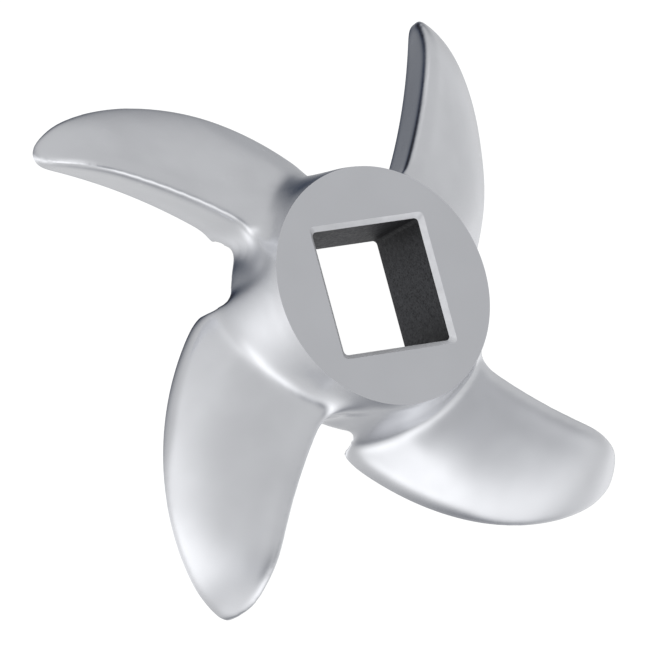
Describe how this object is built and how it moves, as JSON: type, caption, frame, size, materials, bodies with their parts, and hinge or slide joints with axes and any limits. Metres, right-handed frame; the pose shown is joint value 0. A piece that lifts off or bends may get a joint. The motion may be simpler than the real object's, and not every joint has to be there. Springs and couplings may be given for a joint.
{
  "type": "mincer knife",
  "caption": "Mincer knife of cast stainless steel: sickle blades with flat cutting lands around a short round hub with a square drive bore.",
  "frame": {"origin": "on the bore's axis in the cutting plane, which is the plane the knife lies on", "axes": "+Z along the bore's axis towards the hub's drive face; +X and +Y square to the bore's flats"},
  "size_m": [0.0642, 0.0642, 0.0128],
  "materials": {
    "satin_steel": "satin polished, as cast inside the bore"
  },
  "bodies": {
    "root": {"mincer_knife": "satin_steel"}
  },
  "joints": []
}
